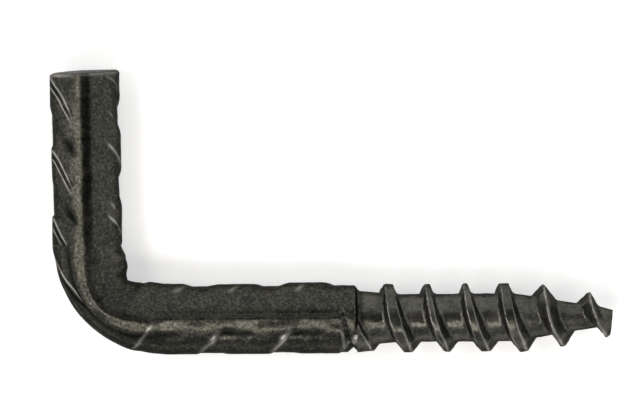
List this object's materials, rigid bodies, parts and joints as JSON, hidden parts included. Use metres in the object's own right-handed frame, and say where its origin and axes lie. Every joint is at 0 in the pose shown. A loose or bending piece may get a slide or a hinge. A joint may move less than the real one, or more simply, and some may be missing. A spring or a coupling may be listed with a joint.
{
  "type": "screw hook",
  "caption": "L-shaped hook bent from ribbed black steel bar, with a coarse wood thread on its end, to screw into timber or a wall plug and carry a load on its arm.",
  "frame": {"origin": "on the thread's axis at the shoulder, where the threaded end meets the ribbed bar", "axes": "+X along the thread's axis to the tip, +Y from the run towards the end of the bent arm, +Z square to the plane of the hook, up as it lies"},
  "size_m": [0.0809, 0.0411, 0.0104],
  "materials": {
    "black_steel": "satin black, lightly rubbed on the ribs and the thread's crests"
  },
  "bodies": {
    "root": {"screw_hook": "black_steel"}
  },
  "joints": []
}
